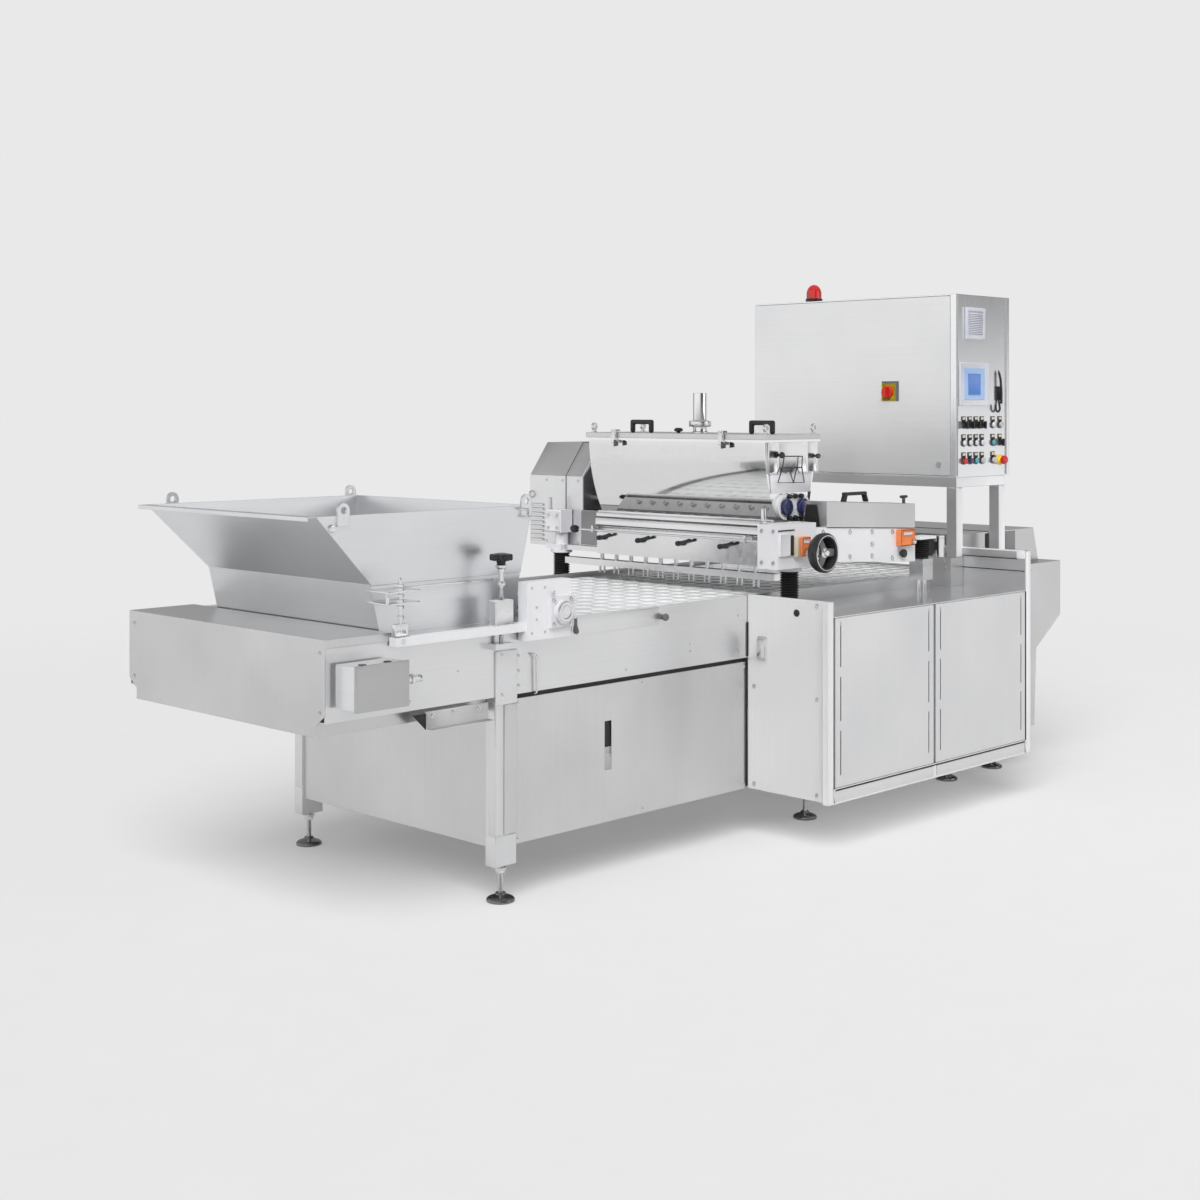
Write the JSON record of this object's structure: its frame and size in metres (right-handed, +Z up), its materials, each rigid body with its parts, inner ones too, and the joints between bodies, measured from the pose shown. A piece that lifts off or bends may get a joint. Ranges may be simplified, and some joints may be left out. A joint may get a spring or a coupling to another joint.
{
  "type": "volumetric injector",
  "caption": "Bakery injector: mould-plate conveyor under a flared dispenser hopper and a lifting injection head with nozzles, a side cabinet and a control cabinet on a portal.",
  "frame": {"origin": "middle of the floor rectangle that the machine covers, at floor level", "axes": "+X is the way the mould plates travel, -Y is the operator's side with the cabinet doors, +Z is up"},
  "size_m": [4.36, 1.898, 2.31],
  "materials": {
    "stainless": "satin",
    "polished": "polished",
    "white_alloy": "satin",
    "mould_alloy": "matte",
    "black_plastic": "matte",
    "bellows_rubber": "matte",
    "grey_plastic": "matte",
    "screen_grey": "satin",
    "orange_plastic": "gloss",
    "red_plastic": "gloss",
    "blue_plastic": "gloss",
    "yellow_plastic": "gloss"
  },
  "bodies": {
    "machine": {"base_frame": "stainless", "levelling_feet": "stainless", "skirt_panels": "stainless", "side_plates": "stainless", "infeed_cover": "stainless", "junction_box": "grey_plastic", "wear_rails": "white_alloy", "dispenser_hopper": "stainless", "side_cabinet": "stainless", "cabinet_end_panel": "stainless", "electrical_cabinet": "stainless", "panel_fittings": "screen_grey", "rear_bellows": "bellows_rubber", "control_bezels": "black_plastic", "beacon": "red_plastic", "portal_frame": "stainless", "discharge_housing": "stainless", "lift_columns": "polished", "column_bellows": "bellows_rubber"},
    "roller_arm": {"roller_arms": "white_alloy", "flange_bearings": "stainless"},
    "electrical_door": {"electrical_door": "stainless", "main_switch_plate": "yellow_plastic"},
    "head": {"head_frame": "white_alloy", "manifold": "white_alloy", "nozzle_bar": "stainless", "product_hopper": "polished", "gear_cover": "stainless", "feed_motor": "grey_plastic", "drive_plate": "white_alloy", "drive_cover": "stainless", "position_indicators": "orange_plastic"},
    "lid": {"hopper_lid": "stainless", "lid_fittings": "black_plastic"},
    "levelling_roller": {"levelling_roller": "polished"},
    "height_knob": {"height_knob": "black_plastic"},
    "mould_plates": {"mould_plates": "mould_alloy"},
    "idler_shaft": {"idler_shaft": "stainless"},
    "drive_shaft": {"drive_shaft": "stainless"},
    "cabinet_door_left": {"cabinet_door_left": "stainless"},
    "cabinet_door_right": {"cabinet_door_right": "stainless"},
    "main_switch_knob": {"main_switch_knob": "red_plastic"},
    "feed_roller_front": {"feed_roller_front": "stainless"},
    "feed_roller_rear": {"feed_roller_rear": "stainless"},
    "handwheel": {"handwheel": "black_plastic"},
    "clamp_lever_1": {"clamp_lever_1": "black_plastic"},
    "clamp_lever_2": {"clamp_lever_2": "black_plastic"},
    "clamp_lever_3": {"clamp_lever_3": "black_plastic"},
    "clamp_lever_4": {"clamp_lever_4": "black_plastic"},
    "selector_1": {"selector_1": "black_plastic"},
    "selector_2": {"selector_2": "black_plastic"},
    "selector_3": {"selector_3": "black_plastic"},
    "selector_4": {"selector_4": "black_plastic"},
    "selector_5": {"selector_5": "black_plastic"},
    "button_stop": {"button_stop": "red_plastic"},
    "button_reset": {"button_reset": "blue_plastic"},
    "button_fill": {"button_fill": "grey_plastic"},
    "button_jog": {"button_jog": "grey_plastic"},
    "button_start": {"button_start": "grey_plastic"},
    "estop_button": {"estop_button": "red_plastic"}
  },
  "joints": [
    {"name": "plate_index", "type": "slide", "parent": "machine", "child": "mould_plates", "axis": [1, 0, 0], "range_m": [0, 0.09]},
    {"name": "idler_turn", "type": "hinge", "parent": "machine", "child": "idler_shaft", "pos_m": [-2, 0.051, 0.809], "axis": [0, 1, 0], "range_deg": [0, 47]},
    {"name": "drive_turn", "type": "hinge", "parent": "machine", "child": "drive_shaft", "pos_m": [1.86, 0.051, 0.809], "axis": [0, 1, 0], "range_deg": [0, 47]},
    {"name": "roller_arm_tilt", "type": "hinge", "parent": "machine", "child": "roller_arm", "pos_m": [-1.86, 0.051, 0.945], "axis": [0, -1, 0], "range_deg": [0, 2.48]},
    {"name": "levelling_roller_turn", "type": "hinge", "parent": "roller_arm", "child": "levelling_roller", "pos_m": [-1.167, 0.051, 0.988], "axis": [0, 1, 0], "continuous": true},
    {"name": "height_knob_turn", "type": "hinge", "parent": "machine", "child": "height_knob", "pos_m": [-1.42, -0.5515, 1.1], "axis": [0, 0, 1], "range_deg": [0, 1800]},
    {"name": "cabinet_door_left_swing", "type": "hinge", "parent": "machine", "child": "cabinet_door_left", "pos_m": [-0.06, -0.933, 0.56], "axis": [0, 0, -1], "range_deg": [0, 95]},
    {"name": "cabinet_door_right_swing", "type": "hinge", "parent": "machine", "child": "cabinet_door_right", "pos_m": [0.618, -0.933, 0.56], "axis": [0, 0, -1], "range_deg": [0, 95]},
    {"name": "electrical_door_swing", "type": "hinge", "parent": "machine", "child": "electrical_door", "pos_m": [1.268, 0.525, 1.8], "axis": [0, 0, -1], "range_deg": [0, 42]},
    {"name": "main_switch_turn", "type": "hinge", "parent": "electrical_door", "child": "main_switch_knob", "pos_m": [1.23, -0.265, 1.774], "axis": [1, 0, 0], "range_deg": [0, 90]},
    {"name": "head_lift", "type": "slide", "parent": "machine", "child": "head", "axis": [0, 0, 1], "range_m": [0, 0.06], "deforming": ["column_bellows", "rear_bellows"]},
    {"name": "lid_open", "type": "hinge", "parent": "head", "child": "lid", "pos_m": [0.438, 0.016, 1.576], "axis": [0, 1, 0], "range_deg": [0, 75]},
    {"name": "feed_front_turn", "type": "hinge", "parent": "head", "child": "feed_roller_front", "pos_m": [0.187, 0.051, 1.294], "axis": [0, 1, 0], "continuous": true},
    {"name": "feed_rear_turn", "type": "hinge", "parent": "head", "child": "feed_roller_rear", "pos_m": [0.293, 0.051, 1.294], "axis": [0, 1, 0], "continuous": true},
    {"name": "handwheel_turn", "type": "hinge", "parent": "head", "child": "handwheel", "pos_m": [0.08, -0.789, 1.13], "axis": [0, -1, 0], "continuous": true},
    {"name": "clamp_lever_1_turn", "type": "hinge", "parent": "head", "child": "clamp_lever_1", "pos_m": [0.015, -0.307, 1.132], "axis": [1, 0, 0], "range_deg": [0, 90]},
    {"name": "clamp_lever_2_turn", "type": "hinge", "parent": "head", "child": "clamp_lever_2", "pos_m": [0.015, -0.075, 1.132], "axis": [1, 0, 0], "range_deg": [0, 90]},
    {"name": "clamp_lever_3_turn", "type": "hinge", "parent": "head", "child": "clamp_lever_3", "pos_m": [0.015, 0.157, 1.132], "axis": [1, 0, 0], "range_deg": [0, 90]},
    {"name": "clamp_lever_4_turn", "type": "hinge", "parent": "head", "child": "clamp_lever_4", "pos_m": [0.015, 0.389, 1.132], "axis": [1, 0, 0], "range_deg": [0, 90]},
    {"name": "selector_1_turn", "type": "hinge", "parent": "machine", "child": "selector_1", "pos_m": [1.315, -0.639, 1.623], "axis": [0, 1, 0], "range_deg": [-45, 45]},
    {"name": "selector_2_turn", "type": "hinge", "parent": "machine", "child": "selector_2", "pos_m": [1.365, -0.639, 1.623], "axis": [0, 1, 0], "range_deg": [-45, 45]},
    {"name": "selector_3_turn", "type": "hinge", "parent": "machine", "child": "selector_3", "pos_m": [1.415, -0.639, 1.623], "axis": [0, 1, 0], "range_deg": [-45, 45]},
    {"name": "selector_4_turn", "type": "hinge", "parent": "machine", "child": "selector_4", "pos_m": [1.465, -0.639, 1.623], "axis": [0, 1, 0], "range_deg": [-45, 45]},
    {"name": "selector_5_turn", "type": "hinge", "parent": "machine", "child": "selector_5", "pos_m": [1.617, -0.639, 1.542], "axis": [0, 1, 0], "range_deg": [-45, 45]},
    {"name": "button_stop_press", "type": "slide", "parent": "machine", "child": "button_stop", "axis": [0, 1, 0], "range_m": [0, 0.004], "stiffness_N_per_m": 600},
    {"name": "button_reset_press", "type": "slide", "parent": "machine", "child": "button_reset", "axis": [0, 1, 0], "range_m": [0, 0.004], "stiffness_N_per_m": 600},
    {"name": "button_fill_press", "type": "slide", "parent": "machine", "child": "button_fill", "axis": [0, 1, 0], "range_m": [0, 0.004], "stiffness_N_per_m": 600},
    {"name": "button_jog_press", "type": "slide", "parent": "machine", "child": "button_jog", "axis": [0, 1, 0], "range_m": [0, 0.004], "stiffness_N_per_m": 600},
    {"name": "button_start_press", "type": "slide", "parent": "machine", "child": "button_start", "axis": [0, 1, 0], "range_m": [0, 0.004], "stiffness_N_per_m": 600},
    {"name": "estop_press", "type": "slide", "parent": "machine", "child": "estop_button", "axis": [0, 1, 0], "range_m": [0, 0.005], "stiffness_N_per_m": 1200}
  ],
  "couplings": [
    {"joint": "idler_turn", "follows": "plate_index", "rad_per_m": 9.0909},
    {"joint": "drive_turn", "follows": "plate_index", "rad_per_m": 9.0909},
    {"joint": "height_knob_turn", "follows": "roller_arm_tilt", "ratio": 725},
    {"joint": "feed_rear_turn", "follows": "feed_front_turn", "ratio": -1}
  ]
}
